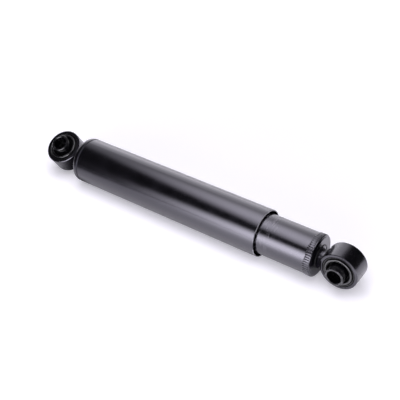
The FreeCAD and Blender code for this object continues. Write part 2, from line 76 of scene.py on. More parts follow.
def add_node(tree, kind, settings=None, **inputs):
    """A node whose named inputs are either numbers, colours or another node's output."""
    made = tree.nodes.new(kind)
    for name, value in (settings or {}).items():
        setattr(made, name, value)
    for name, value in inputs.items():
        feed(tree, made.inputs[name.replace("_", " ")], value)
    return made


def work_out(tree, operation, *values):
    """The result of a Math node; the values are numbers or other nodes' outputs."""
    made = add_node(tree, "ShaderNodeMath", {"operation": operation})
    for socket, value in zip(made.inputs, values):
        feed(tree, socket, value)
    return made.outputs[0]


def work_out_vector(tree, operation, *values):
    """The outputs of a Vector Math node; the values are vectors or other nodes' outputs."""
    made = add_node(tree, "ShaderNodeVectorMath", {"operation": operation})
    for socket, value in zip(made.inputs, values):
        feed(tree, socket, value)
    return made.outputs


def ramp(tree, value, low, high, low_to=0.0, high_to=1.0):
    """A value eased from low_to at low to high_to at high."""
    made = add_node(tree, "ShaderNodeMapRange", {"interpolation_type": "SMOOTHSTEP"}, Value=value,
                    From_Min=low, From_Max=high, To_Min=low_to, To_Max=high_to)
    return made.outputs["Result"]


MIX_SHARE, MIX_FIRST, MIX_SECOND, MIX_RESULT = 0, 6, 7, 2


def mix_colours(tree, share, first, second):
    """Colour first at share 0 and second at share 1; the Mix node's colour sockets go by number."""
    made = add_node(tree, "ShaderNodeMix", {"data_type": "RGBA"})
    for number, value in ((MIX_SHARE, share), (MIX_FIRST, first), (MIX_SECOND, second)):
        feed(tree, made.inputs[number], value)
    return made.outputs[MIX_RESULT]


def start_group(name, inputs, outputs):
    """A shader node group; inputs give each value's default, or None for a vector."""
    group = bpy.data.node_groups.new(name, "ShaderNodeTree")
    for label, default in inputs.items():
        kind = "NodeSocketVector" if default is None else "NodeSocketFloat"
        socket = group.interface.new_socket(name=label, in_out="INPUT", socket_type=kind)
        if default is not None:
            socket.default_value = default
    for label in outputs:
        group.interface.new_socket(name=label, in_out="OUTPUT", socket_type="NodeSocketFloat")
    return group, group.nodes.new("NodeGroupInput").outputs, group.nodes.new("NodeGroupOutput").inputs


def place_group(tree, group, **inputs):
    """The outputs of a node group placed in a material with its own values."""
    return add_node(tree, "ShaderNodeGroup", {"node_tree": group}, **inputs).outputs


def soft_noise(tree, place, size, detail=2.0, roughness=0.5):
    """Soft noise whose lumps are about size across, in metres."""
    scale = work_out(tree, "DIVIDE", 1.0, size)
    made = add_node(tree, "ShaderNodeTexNoise", Vector=place, Scale=scale, Detail=detail,
                    Roughness=roughness)
    return made.outputs["Fac"]


# Tool marks: lines drawn out along the ways with a small stretch, and slow stains over them.
tool_marks, taken, given = start_group(
    "tool_marks", {"Place": None, "Stretch": None, "Size": 0.0006, "Stain": 0.012}, ("Lines", "Stains"))
drawn_place = work_out_vector(tool_marks, "MULTIPLY", taken["Place"], taken["Stretch"])["Vector"]
drawn_lines = soft_noise(tool_marks, drawn_place, taken["Size"], detail=3.0, roughness=0.6)
slow_stains = soft_noise(tool_marks, taken["Place"], taken["Stain"], detail=4.0, roughness=0.6)
tool_marks.links.new(drawn_lines, given["Lines"])
tool_marks.links.new(slow_stains, given["Stains"])


def start_material(name):
    """A new material with its node tree, its shader and the place on the piece."""
    made = bpy.data.materials.new(name)
    made.use_nodes = True
    tree = made.node_tree
    place = add_node(tree, "ShaderNodeTexCoord").outputs["Object"]
    return made, tree, tree.nodes["Principled BSDF"], place


# Each spread tells at which values of its noise a mark begins and is full.
stain_spread = (0.35, 0.72)
line_spread = (0.3, 0.75)


def bare_metal(name, bright, stained, stretch, line_size, smooth, coarse):
    """Uncoated metal with the marks of its making, from bright and smooth to stained and coarse."""
    made, tree, shader, place = start_material(name)
    marks = place_group(tree, tool_marks, Place=place, Stretch=stretch, Size=line_size)
    stains = ramp(tree, marks["Stains"], *stain_spread)
    tree.links.new(mix_colours(tree, stains, bright, stained), shader.inputs["Base Color"])
    tree.links.new(ramp(tree, marks["Lines"], *line_spread, smooth, coarse), shader.inputs["Roughness"])
    bump = add_node(tree, "ShaderNodeBump", Strength=0.15, Distance=0.0002, Height=marks["Lines"])
    tree.links.new(bump.outputs["Normal"], shader.inputs["Normal"])
    shader.inputs["Metallic"].default_value = 1.0
    return made


def dress(material, *names):
    """Gives CAD pieces a finish in place of their plain one."""
    for name in names:
        nodes[name].data.materials.clear()
        nodes[name].data.materials.append(material)


STRIP_BRIGHT = (0.47, 0.48, 0.51, 1.0)
STRIP_STAINED = (0.30, 0.31, 0.34, 1.0)
ROLLED_ONE_WAY = (1.0, 1.0, 0.06)
strip_steel = bare_metal("valve_strip_steel", STRIP_BRIGHT, STRIP_STAINED, ROLLED_ONE_WAY,
                         line_size=0.0005, smooth=0.22, coarse=0.42)
for number in (1, 2, 3):
    dress(strip_steel, f"foot_disc_{number}", f"rebound_disc_{number}")
for valve in ("foot", "piston"):
    dress(strip_steel, f"{valve}_check_plate", f"{valve}_check_spring", f"{valve}_keeper")
dress(strip_steel, "foot_washer", "rebound_washer", "seal_spring")

# Star springs: pressed stars of strip steel that hold the two check plates on their seats.
# A rising plate presses the real star flat against the keeper above it; each copy here keeps its pressed
# shape.
for valve, body in (("foot", "cylinder"), ("piston", "rod")):
    node_name = f"{valve}_check_spring"
    star = bpy.data.objects.new(f"{valve}_star_spring", nodes[node_name].data.copy())
    bpy.context.scene.collection.objects.link(star)
    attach(star, body)
    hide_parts(node_name)
    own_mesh(star)

# Rivet, nut and rebound stop: turned from bar steel, and riveted, screwed or pressed in place.
# The tool leaves fine lines round them.
TURNED_ROUND = (1.0, 0.05, 0.05)
turned_steel = bare_metal("turned_fixing_steel", STRIP_BRIGHT, STRIP_STAINED, TURNED_ROUND,
                          line_size=0.0004, smooth=0.26, coarse=0.46)
dress(turned_steel, "foot_rivet", "piston_nut", "rebound_stop")

# Foot valve body and piston: pressed from iron powder, sintered and steam treated.
# The grains leave an even matt surface with open pores and a blue-black oxide over it.
SINTER_GREY = (0.22, 0.22, 0.235, 1.0)
SINTER_OXIDE = (0.12, 0.125, 0.145, 1.0)
PRESSED_EVENLY = (1.0, 1.0, 1.0)
sintered = bare_metal("sintered_iron_grains", SINTER_GREY, SINTER_OXIDE, PRESSED_EVENLY,
                      line_size=0.0003, smooth=0.48, coarse=0.72)
dress(sintered, "foot_valve_body", "piston")

# Pressure tube and closing cover: cold-drawn steel tube honed inside, and a pressed steel cover
# held under the rolled edge. Die lines run along the tube through a thin film of oil.
DRAWN_BRIGHT = (0.54, 0.55, 0.57, 1.0)
DRAWN_STAINED = (0.40, 0.41, 0.43, 1.0)
DRAWN_ALONG = (0.015, 1.0, 1.0)
drawn_tube = bare_metal("drawn_tube_steel", DRAWN_BRIGHT, DRAWN_STAINED, DRAWN_ALONG,
                        line_size=0.0007, smooth=0.20, coarse=0.38)
dress(drawn_tube, "pressure_tube")
pressed_cover = bare_metal("pressed_cover_steel", DRAWN_BRIGHT, DRAWN_STAINED, PRESSED_EVENLY,
                           line_size=0.0010, smooth=0.26, coarse=0.44)
dress(pressed_cover, "closing_cover")

# Piston rod: hardened steel bar, ground between centres and hard-chromed.
# It is the brightest piece inside, with only faint grinding lines round it.
CHROME_BRIGHT = (0.76, 0.77, 0.79, 1.0)
CHROME_SHADED = (0.70, 0.71, 0.74, 1.0)
rod_chrome = bare_metal("ground_rod_chrome", CHROME_BRIGHT, CHROME_SHADED, TURNED_ROUND,
                        line_size=0.0003, smooth=0.05, coarse=0.13)
dress(rod_chrome, "piston_rod")

# Rod guide and its bush: a die-cast alloy guide with a rolled bronze-backed bush pressed in.
# The casting keeps the die's fine skin, the bush has lines of its lining round the bore.
ALLOY_BRIGHT = (0.63, 0.64, 0.66, 1.0)
ALLOY_DULL = (0.50, 0.51, 0.53, 1.0)
cast_alloy = bare_metal("die_cast_alloy", ALLOY_BRIGHT, ALLOY_DULL, PRESSED_EVENLY,
                        line_size=0.0008, smooth=0.34, coarse=0.55)
dress(cast_alloy, "rod_guide")
BRONZE_BRIGHT = (0.64, 0.48, 0.27, 1.0)
BRONZE_BROWN = (0.47, 0.33, 0.18, 1.0)
bush_bronze = bare_metal("lined_bush_bronze", BRONZE_BRIGHT, BRONZE_BROWN, TURNED_ROUND,
                         line_size=0.0004, smooth=0.28, coarse=0.46)
dress(bush_bronze, "guide_bush")

# Seal, guide ring, piston band and rebound bumper: moulded or cut from rubber and plastic.
# Each has the soft grain of its mould and a bloom that changes its tone from place to place.
bloom_size = 0.009
bloom_spread = (0.35, 0.75)
grain_spread = (0.25, 0.75)


def matt_grain(name, deep, bloomed, grain_size, smooth, coarse):
    """A matt skin with a fine even grain, from deep and smooth to bloomed and coarse."""
    made, tree, shader, place = start_material(name)
    marks = place_group(tree, tool_marks, Place=place, Stretch=PRESSED_EVENLY, Size=grain_size,
                        Stain=bloom_size)
    bloom = ramp(tree, marks["Stains"], *bloom_spread)
    tree.links.new(mix_colours(tree, bloom, deep, bloomed), shader.inputs["Base Color"])
    tree.links.new(ramp(tree, marks["Lines"], *grain_spread, smooth, coarse), shader.inputs["Roughness"])
    bump = add_node(tree, "ShaderNodeBump", Strength=0.12, Distance=0.0003, Height=marks["Lines"])
    tree.links.new(bump.outputs["Normal"], shader.inputs["Normal"])
    return made


NITRILE_BLACK = (0.018, 0.018, 0.020, 1.0)
NITRILE_BLOOM = (0.034, 0.034, 0.037, 1.0)
nitrile = matt_grain("nitrile_seal", NITRILE_BLACK, NITRILE_BLOOM,
                     grain_size=0.0005, smooth=0.42, coarse=0.62)
dress(nitrile, "rod_seal", "guide_ring")
BAND_BROWN = (0.155, 0.125, 0.095, 1.0)
BAND_PALE = (0.205, 0.170, 0.130, 1.0)
band_plastic = matt_grain("filled_band_plastic", BAND_BROWN, BAND_PALE,
                          grain_size=0.0004, smooth=0.40, coarse=0.60)
dress(band_plastic, "piston_band")
BUMPER_AMBER = (0.58, 0.44, 0.19, 1.0)
BUMPER_PALE = (0.66, 0.54, 0.29, 1.0)
cast_bumper = matt_grain("cast_bumper", BUMPER_AMBER, BUMPER_PALE,
                         grain_size=0.0008, smooth=0.30, coarse=0.48)
dress(cast_bumper, "rebound_bumper")


# Reserve tube and base cap: drawn steel tube with a pressed cup let into its end and welded there.
# Both are sprayed with black enamel after welding, so one even film covers tube, rim and cap.
# The film is a little wavy, as sprayed enamel is, and shows the drawing lines of the tube.
def multiplied(tree, share, *others):
    """The product of two or more shares."""
    for other in others:
        share = work_out(tree, "MULTIPLY", share, other)
    return share


def axes_of(tree, place):
    """The X, Y and Z of a place."""
    return add_node(tree, "ShaderNodeSeparateXYZ", Vector=place).outputs


# Enamel film: orange peel, slow changes of tone, and a few specks of dust caught in it.
speck_free = 0.86
speck_reach = (0.03, 0.09, 1.0, 0.0)
film, taken, given = start_group(
    "enamel_film", {"Place": None, "Peel": 0.0016, "Cloud": 0.03, "Speck": 0.004},
    ("Height", "Tone", "Specks"))
film.links.new(soft_noise(film, taken["Place"], taken["Peel"]), given["Height"])
film.links.new(soft_noise(film, taken["Place"], taken["Cloud"], detail=4.0, roughness=0.6), given["Tone"])
speck_scale = work_out(film, "DIVIDE", 1.0, taken["Speck"])
speck_cells = add_node(film, "ShaderNodeTexVoronoi", Vector=taken["Place"], Scale=speck_scale).outputs
speck_pick = add_node(film, "ShaderNodeSeparateColor", Color=speck_cells["Color"]).outputs["Red"]
speck_here = work_out(film, "GREATER_THAN", speck_pick, speck_free)
speck_dot = ramp(film, speck_cells["Distance"], *speck_reach)
film.links.new(multiplied(film, speck_here, speck_dot), given["Specks"])

# Rub marks: short pale lines round the axis between two places along it, where the tube is handled.
RUBBED_ROUND = (1.0, 0.12, 0.12)
rub_patch_size = 0.010
rub_patch_spread = (0.38, 0.58)
rub_line_spread = (0.49, 0.66)
rub_reach = (0.5, 1.0, 1.0, 0.0)
rubbing, taken, given = start_group(
    "rub_marks", {"Place": None, "Start": 0.0, "End": 0.1, "Width": 0.0012}, ("Marks",))
rub_middle = work_out(rubbing, "MULTIPLY", work_out(rubbing, "ADD", taken["Start"], taken["End"]), 0.5)
rub_half = work_out(rubbing, "MULTIPLY", work_out(rubbing, "SUBTRACT", taken["End"], taken["Start"]), 0.5)
rub_off = work_out(rubbing, "SUBTRACT", axes_of(rubbing, taken["Place"])["X"], rub_middle)
rub_away = work_out(rubbing, "DIVIDE", work_out(rubbing, "ABSOLUTE", rub_off), rub_half)
rub_here = ramp(rubbing, rub_away, *rub_reach)
rub_place = work_out_vector(rubbing, "MULTIPLY", taken["Place"], RUBBED_ROUND)["Vector"]
rub_grain = soft_noise(rubbing, rub_place, taken["Width"], detail=3.0, roughness=0.65)
rub_lines = ramp(rubbing, rub_grain, *rub_line_spread)
rub_patch = ramp(rubbing, soft_noise(rubbing, taken["Place"], rub_patch_size), *rub_patch_spread)
rubbing.links.new(multiplied(rubbing, rub_lines, rub_patch, rub_here), given["Marks"])

ENAMEL_BLACK = (0.0012, 0.0011, 0.0016, 1.0)
ENAMEL_FADED = (0.0030, 0.0028, 0.0038, 1.0)
ENAMEL_SHEEN = (0.84, 0.80, 1.0, 1.0)
SPECK_GREY = (0.11, 0.105, 0.115, 1.0)
RUB_GREY = (0.08, 0.077, 0.086, 1.0)
EDGE_WEAR_AND_HIGHLIGHT = (0.24, 0.235, 0.25, 1.0)
TUBE_DRAWN = (0.007, 1.0, 1.0)
tube_line_size = 0.0016
drawn_spread = (0.3, 0.8)
tone_spread = (0.3, 0.75)
gloss_spread = (0.25, 0.8)
gloss_gained = 0.03
gloss_lost = 0.05
edge_worn_width = 0.0006
edge_whole_from = 0.0014
edge_spread = (0.32, 0.50)
line_roughness = 1.2
line_height = 8.0
rub_roughness = 0.2
dull_roughness = 0.30
off_part = -1.0
off_part_end = -0.9


def enamel(name, gloss=0.18, coat_gloss=0.15, line_depth=0.0, rub_start=off_part, rub_end=off_part_end,
           worn_highlight_edge=off_part, dull=None, shade_black=0.0):
    """Black enamel on steel: an even dark film with orange peel, drawing lines, dust specks and rub marks.

    Where dull gives a share, the film is thin and has no shine; the last argument paints that share black by
    how much, as painted shade.
    """
    made, tree, shader, place = start_material(name)
    skin = place_group(tree, film, Place=place)
    lines = place_group(tree, tool_marks, Place=place, Stretch=TUBE_DRAWN, Size=tube_line_size)
    rubs = place_group(tree, rubbing, Place=place, Start=rub_start, End=rub_end)
    tone = ramp(tree, skin["Tone"], *tone_spread)
    colour = mix_colours(tree, tone, ENAMEL_BLACK, ENAMEL_FADED)
    colour = mix_colours(tree, skin["Specks"], colour, SPECK_GREY)
    colour = mix_colours(tree, rubs["Marks"], colour, RUB_GREY)
    # Near the given edge the film is worn to pale steel, a mark that also stands in as a painted highlight
    # along the tube's mouth.
    edge_away = work_out(tree, "SUBTRACT", axes_of(tree, place)["X"], worn_highlight_edge)
    edge = multiplied(tree, ramp(tree, edge_away, edge_worn_width, edge_whole_from, 1.0, 0.0),
                      ramp(tree, skin["Tone"], *edge_spread))
    colour = mix_colours(tree, edge, colour, EDGE_WEAR_AND_HIGHLIGHT)
    tree.links.new(colour, shader.inputs["Base Color"])
    rough = ramp(tree, skin["Tone"], *gloss_spread, gloss - gloss_gained, gloss + gloss_lost)
    drawn = ramp(tree, lines["Lines"], *drawn_spread, 0.0, line_roughness * line_depth)
    rough = work_out(tree, "ADD", rough, drawn)
    rough = work_out(tree, "ADD", rough, multiplied(tree, rubs["Marks"], rub_roughness))
    shader.inputs["Coat Weight"].default_value = 1.0
    if dull:
        dull_share = dull(tree, place)
        rough = work_out(tree, "ADD", rough, multiplied(tree, dull_share, dull_roughness))
        tree.links.new(ramp(tree, dull_share, 0.0, 1.0, 1.0, 0.0), shader.inputs["Coat Weight"])
        # Painted shade: a metallic film over the black base colour makes the dull share render black.
        if shade_black:
            tree.links.new(ramp(tree, dull_share, 0.0, 1.0, 0.0, shade_black), shader.inputs["Metallic"])
    tree.links.new(rough, shader.inputs["Roughness"])
    height = work_out(tree, "ADD", skin["Height"],
                      multiplied(tree, lines["Lines"], line_height * line_depth))
    bump = add_node(tree, "ShaderNodeBump", Strength=0.10, Distance=0.0004, Height=height)
    tree.links.new(bump.outputs["Normal"], shader.inputs["Normal"])
    shader.inputs["Specular IOR Level"].default_value = 0.9
    shader.inputs["Specular Tint"].default_value = ENAMEL_SHEEN
    shader.inputs["Coat Roughness"].default_value = coat_gloss
    shader.inputs["Coat IOR"].default_value = 1.6
    return made


# On the front, upper side the tube's rim and the cap's bend and face are dull and painted black: painted
# shade.
# Each pair tells where this painted shade begins and where it is full, across and upwards.
tube_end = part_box("reserve_tube")[0].x
rim_dull_depth = 0.0005
rim_whole_depth = 0.0018
rim_side = (-0.006, 0.010)
rim_upper = (-0.002, 0.009)


def rim_painted_shade(tree, place):
    """The sheared end of the tube, dull and painted black as shade on its front, upper side."""
    axes = axes_of(tree, place)
    rim = ramp(tree, axes["X"], tube_end + rim_dull_depth, tube_end + rim_whole_depth, 1.0, 0.0)
    return multiplied(tree, rim, ramp(tree, axes["Z"], *rim_upper), ramp(tree, axes["Y"], *rim_side))


cap_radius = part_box("base_cap")[1].z
bend_whole_depth = 0.0030
bend_dull_depth = 0.0013
bend_side = (-0.012, 0.004)
face_side = (0.010, 0.018)
cap_upper = (-0.006, 0.006)
ACROSS_AXIS = (0.0, 1.0, 1.0)


def cap_painted_shade(tree, place):
    """The cap's bend and near face, dull and painted black as shade on the front, upper side."""
    axes = axes_of(tree, place)
    across = work_out_vector(tree, "MULTIPLY", place, ACROSS_AXIS)["Vector"]
    out = work_out_vector(tree, "LENGTH", across)["Value"]
    bend = multiplied(tree, ramp(tree, out, cap_radius - bend_whole_depth, cap_radius - bend_dull_depth),
                      ramp(tree, axes["Y"], *bend_side))
    bend_or_face = work_out(tree, "MAXIMUM", bend, ramp(tree, axes["Y"], *face_side))
    return multiplied(tree, bend_or_face, ramp(tree, axes["Z"], *cap_upper))


mouth_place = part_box("dust_tube")[0].x
rub_half_length = 0.035
painted_shade_black = 0.9
tube_enamel = enamel("reserve_tube_enamel", line_depth=0.02, rub_start=mouth_place - rub_half_length,
                     rub_end=mouth_place + rub_half_length, dull=rim_painted_shade, shade_black=painted_shade_black)
dress(tube_enamel, "reserve_tube")
dress(enamel("pressed_cap_enamel", gloss=0.20, dull=cap_painted_shade, shade_black=painted_shade_black), "base_cap")


# Seam marks: the cup is roll-welded to the tube, and each beat of the weld wheel leaves a small
# raised mark across the seam. They stand in a row round the tube, under the same enamel.
def add_piece(name, shape, material, body):
    """Makes a bmesh into a piece that moves with a body and has the given finish."""
    mesh = bpy.data.meshes.new(name)
    shape.to_mesh(mesh)
    shape.free()
    mesh.shade_smooth()
    mesh.materials.append(material)
    piece = bpy.data.objects.new(name, mesh)
    bpy.context.scene.collection.objects.link(piece)
    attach(piece, body)


tube_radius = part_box("reserve_tube")[1].y
seam_middle = tube_end + 0.0068
seam_gloss = 0.24
seam_mark_count = 54
seam_mark_length = 0.0104
seam_mark_width = 0.0028
seam_mark_rise = 0.0009
seam_mark_depth = 0.0018
seam_mark_round = 0.0004
uneven_length = 0.10
uneven_width = 0.14
uneven_place = 0.0004
length_beat = 7.3
width_beat, width_start = 4.1, 1.0
place_beat, place_start = 5.7, 2.0
marks = bmesh.new()
for number in range(seam_mark_count):
    angle = 2 * math.pi * number / seam_mark_count
    length = seam_mark_length * (1 + uneven_length * math.sin(length_beat * number))
    width = seam_mark_width * (1 + uneven_width * math.sin(width_beat * number + width_start))
    along = seam_middle + uneven_place * math.sin(place_beat * number + place_start)
    out = tube_radius + seam_mark_rise - 0.5 * seam_mark_depth
    place = Matrix.Rotation(angle, 4, "X") @ Matrix.Translation((along, out, 0))
    size = Matrix.Diagonal((length, seam_mark_depth, width, 1.0))
    bmesh.ops.create_cube(marks, size=1.0, matrix=place @ size)
bmesh.ops.bevel(marks, geom=marks.edges[:], offset=seam_mark_round, segments=2, profile=0.5, affect="EDGES",
                material=-1)
add_piece("seam_marks", marks, enamel("weld_enamel", gloss=seam_gloss), "cylinder")

# Seam band: the track of the weld wheel under the marks, a thin rise of the steel round the tube.
# On its front, upper side the band is dull and painted black, a painted shade that keeps the gaps
# between the marks dark there.
gap_shade_side = (0.013, 0.020)
gap_shade_upper = (0.004, 0.014)
gap_shade_share = 0.65


def seam_gap_painted_shade(tree, place):
    """The front, upper stretch of the band, dull and painted black as shade between the marks."""
    axes = axes_of(tree, place)
    return multiplied(tree, ramp(tree, axes["Y"], *gap_shade_side, 0.0, gap_shade_share),
                      ramp(tree, axes["Z"], *gap_shade_upper))


band_rise = 0.00015
band_sink = -0.0003
band_half = 0.0047
band_flat = 0.9
band_steps = 180
band_profile = ((-1, band_sink), (-band_flat, band_rise), (band_flat, band_rise), (1, band_sink))
band = bmesh.new()
band_edge = [band.verts.new((seam_middle + side * band_half, tube_radius + lift, 0))
             for side, lift in band_profile]
for first, second in zip(band_edge, band_edge[1:]):
    band.edges.new((first, second))
bmesh.ops.spin(band, geom=band.verts[:] + band.edges[:], cent=(0, 0, 0), axis=(1, 0, 0), angle=2 * math.pi,
               steps=band_steps, use_merge=True)
bmesh.ops.recalc_face_normals(band, faces=band.faces[:])
band_enamel = enamel("seam_band_enamel", gloss=seam_gloss, dull=seam_gap_painted_shade, shade_black=painted_shade_black)
add_piece("seam_band", band, band_enamel, "cylinder")

# Dust tube and its cap: rolled steel tube with a deep-drawn cap welded on, enamelled black all over.
# The run of weld lies in the groove between the two bevelled edges and hardly stands out of it.
# Its scale drinks up the enamel, so the run is dull and the film on the bevels is thin.
joint_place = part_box("dust_tube")[1].x
joint_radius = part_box("dust_tube")[1].y
bevel_dull_width = 0.0012
bevel_whole_from = 0.0020


def joint_groove(tree, place):
    """The bevels beside the joint of tube and cap, where the film is thin and dull."""
    off_joint = work_out(tree, "SUBTRACT", axes_of(tree, place)["X"], joint_place)
    return ramp(tree, work_out(tree, "ABSOLUTE", off_joint), bevel_dull_width, bevel_whole_from, 1.0, 0.0)


# The mouth's edge is worn pale, partly as a painted highlight along it.
dress(enamel("dust_tube_enamel", line_depth=0.015, worn_highlight_edge=mouth_place, dull=joint_groove), "dust_tube")
dress(enamel("dust_cap_enamel", dull=joint_groove), "dust_cap")

SCALE_BLACK = (0.0016, 0.0015, 0.0018, 1.0)
SCALE_GREY = (0.0050, 0.0048, 0.0052, 1.0)
weld_scale = matt_grain("scaled_seam", SCALE_BLACK, SCALE_GREY, grain_size=0.0007, smooth=0.45, coarse=0.65)
run_sides = 10
steps_per_beat = 4
beat_swell = 0.13
slow_swell = 0.16
slow_wander = 0.25
slow_lumps = 120.0


def weld_run(name, radius, thickness, beats, body, seat):
    """A run of weld round the axis in even beats; seat gives its place along the axis at an angle."""
    run = bmesh.new()
    bmesh.ops.create_circle(run, segments=run_sides, radius=thickness,
                            matrix=Matrix.Translation((0, radius, 0)))
    bmesh.ops.spin(run, geom=run.verts[:] + run.edges[:], cent=(0, 0, 0), axis=(1, 0, 0), angle=2 * math.pi,
                   steps=steps_per_beat * beats, use_merge=True)
    bmesh.ops.recalc_face_normals(run, faces=run.faces[:])
    for point in run.verts:
        angle = math.atan2(point.co.z, point.co.y)
        middle = Vector((0, radius * math.cos(angle), radius * math.sin(angle)))
        slow = unevenness.noise(middle * slow_lumps)
        swell = 1 + beat_swell * math.sin(beats * angle) + slow_swell * slow
        point.co = middle + swell * (point.co - middle)
        point.co.x += seat(angle) + slow_wander * thickness * slow
    add_piece(name, run, weld_scale, body)


joint_weld_thickness = 0.0010
joint_weld_drop = 0.0013
joint_weld_beats = 90
weld_run("dust_joint_weld", joint_radius - joint_weld_drop, joint_weld_thickness, joint_weld_beats, "rod",
         lambda angle: joint_place)

# Eyes: short lengths of thick tube welded to turned stems, one on the base cap and one on the dust cap.
# The eye and its stem carry the black enamel, and the weld runs at both ends of the stem stay scaled.
# The sides and underside of the lower stem are dull and painted black, as painted shade behind the eye.
eye_radius = -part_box("lower_eye")[0].x
eye_gloss = 0.26
eye_coat_gloss = 0.23
shade_start = eye_radius - 0.00424
shade_full = eye_radius - 0.00274
shade_below = 0.007
shade_above = 0.011


def stem_painted_shade(tree, place):
    """The sides and underside of the lower stem, dull and painted black as shade behind the eye."""
    axes = axes_of(tree, place)
    return multiplied(tree, ramp(tree, axes["X"], shade_start, shade_full),
                      ramp(tree, axes["Z"], shade_below, shade_above, 1.0, 0.0))


lower_eye_enamel = enamel("lower_eye_enamel", gloss=eye_gloss, coat_gloss=eye_coat_gloss, dull=stem_painted_shade,
                          shade_black=painted_shade_black)
dress(lower_eye_enamel, "lower_eye")
dress(enamel("upper_eye_enamel", gloss=eye_gloss, coat_gloss=eye_coat_gloss), "upper_eye")

stem_radius = 0.0145
saddle_thickness = 0.0011
saddle_radius = stem_radius + 0.3 * saddle_thickness
saddle_beats = 30
foot_thickness = 0.0008
foot_radius = stem_radius + 0.0045
foot_sink = 0.2 * foot_thickness
foot_beats = 36
lower_foot_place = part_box("base_cap")[0].x
upper_foot_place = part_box("dust_cap")[1].x
upper_eye_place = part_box("upper_eye")[1].x - eye_radius
upper_roll = math.radians(60.0)


def lower_saddle(angle):
    """Where the stem's side meets the lower eye, along the axis."""
    return math.sqrt(eye_radius ** 2 - (stem_radius * math.sin(angle)) ** 2)


def upper_saddle(angle):
    """Where the stem's side meets the upper eye, whose bore is rolled about the axis."""
    return upper_eye_place - math.sqrt(eye_radius ** 2 - (stem_radius * math.sin(angle - upper_roll)) ** 2)


weld_run("lower_saddle_weld", saddle_radius, saddle_thickness, saddle_beats, "cylinder", lower_saddle)
weld_run("upper_saddle_weld", saddle_radius, saddle_thickness, saddle_beats, "rod", upper_saddle)
weld_run("lower_foot_weld", foot_radius, foot_thickness, foot_beats, "cylinder",
         lambda angle: lower_foot_place - foot_sink)
weld_run("upper_foot_weld", foot_radius, foot_thickness, foot_beats, "rod",
         lambda angle: upper_foot_place + foot_sink)

# Bushes: black rubber moulded and bonded between the eye and its sleeve, with a rib, a groove and a bead
# on both faces. Enamel drifts onto rib and bead when the part is sprayed, so they shine, while the
# recess inside, the groove and the margin by the eye stay dull.
around, taken, given = start_group(
    "bore_place", {"Place": None, "Centre": None, "Axis": None}, ("Along", "Away"))
bore_from = work_out_vector(around, "SUBTRACT", taken["Place"], taken["Centre"])["Vector"]
bore_along = work_out_vector(around, "DOT_PRODUCT", bore_from, taken["Axis"])["Value"]
bore_across = work_out_vector(around, "CROSS_PRODUCT", bore_from, taken["Axis"])["Vector"]
around.links.new(work_out(around, "ABSOLUTE", bore_along), given["Along"])
around.links.new(work_out_vector(around, "LENGTH", bore_across)["Value"], given["Away"])
LOWER_BORE = {"Centre": (0.0, 0.0, 0.0), "Axis": (0.0, 1.0, 0.0)}
UPPER_BORE = {"Centre": (upper_eye_place, 0.0, 0.0),
              "Axis": (0.0, math.cos(upper_roll), math.sin(upper_roll))}
RUBBER_BARE = (0.0040, 0.0039, 0.0045, 1.0)
RUBBER_SPRAYED = (0.0025, 0.0024, 0.0031, 1.0)
bush_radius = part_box("lower_bush")[1].x
recess_radius = bush_radius - 0.00825
spray_full = recess_radius + 0.0015
rib_peak = recess_radius + 0.0006
rib_outside = recess_radius + 0.0039
groove_inside = recess_radius + 0.0036
groove_outside = recess_radius + 0.0052
margin_inside = recess_radius + 0.0062
spray_edge = 0.0003
rubber_grain = 0.0007
drift_size = 0.008
drift_spread = (0.32, 0.62, 0.75, 1.0)
sprayed_smooth, sprayed_coarse = 0.18, 0.26
bare_roughness = 0.30


def bush_rubber(name, bore, rib_drop):
    """Black rubber with moulding grain, sprayed on rib and bead; the rib's crest falls by rib_drop."""
    made, tree, shader, place = start_material(name)
    grain = place_group(tree, tool_marks, Place=place, Stretch=PRESSED_EVENLY, Size=rubber_grain,
                        Stain=drift_size)
    away = place_group(tree, around, Place=place, **bore)["Away"]
    in_groove = multiplied(tree, ramp(tree, away, groove_inside, groove_inside + spray_edge),
                           ramp(tree, away, groove_outside, groove_outside + spray_edge, 1.0, 0.0))
    in_margin = ramp(tree, away, margin_inside, margin_inside + spray_edge)
    unsprayed = work_out(tree, "MAXIMUM", in_groove, in_margin)
    sprayed = multiplied(tree, ramp(tree, away, recess_radius, spray_full),
                         work_out(tree, "SUBTRACT", 1.0, unsprayed))
    drift = multiplied(tree, ramp(tree, grain["Stains"], *drift_spread), sprayed)
    tree.links.new(mix_colours(tree, drift, RUBBER_BARE, RUBBER_SPRAYED), shader.inputs["Base Color"])
    rough = work_out(tree, "ADD", ramp(tree, grain["Lines"], *grain_spread, sprayed_smooth, sprayed_coarse),
                     ramp(tree, sprayed, 0.0, 1.0, bare_roughness, 0.0))
    tree.links.new(rough, shader.inputs["Roughness"])
    tree.links.new(drift, shader.inputs["Coat Weight"])
    inner_flank = work_out(tree, "DIVIDE", work_out(tree, "SUBTRACT", away, recess_radius),
                           rib_peak - recess_radius)
    outer_flank = work_out(tree, "DIVIDE", work_out(tree, "SUBTRACT", rib_outside, away),
                           rib_outside - rib_peak)
    lean = work_out(tree, "MAXIMUM", work_out(tree, "MINIMUM", inner_flank, outer_flank), 0.0)
    crest = add_node(tree, "ShaderNodeBump", Strength=1.0, Distance=rib_drop, Height=lean)
    bump = add_node(tree, "ShaderNodeBump", Strength=0.15, Distance=0.0003, Height=grain["Lines"],
                    Normal=crest.outputs["Normal"])
    tree.links.new(bump.outputs["Normal"], shader.inputs["Normal"])
    shader.inputs["Specular IOR Level"].default_value = 0.15
    shader.inputs["Coat Roughness"].default_value = 0.12
    shader.inputs["Coat IOR"].default_value = 2.3
    return made


dress(bush_rubber("lower_bush_rubber", LOWER_BORE, rib_drop=0.0024), "lower_bush")
dress(bush_rubber("upper_bush_rubber", UPPER_BORE, rib_drop=0.0015), "upper_bush")

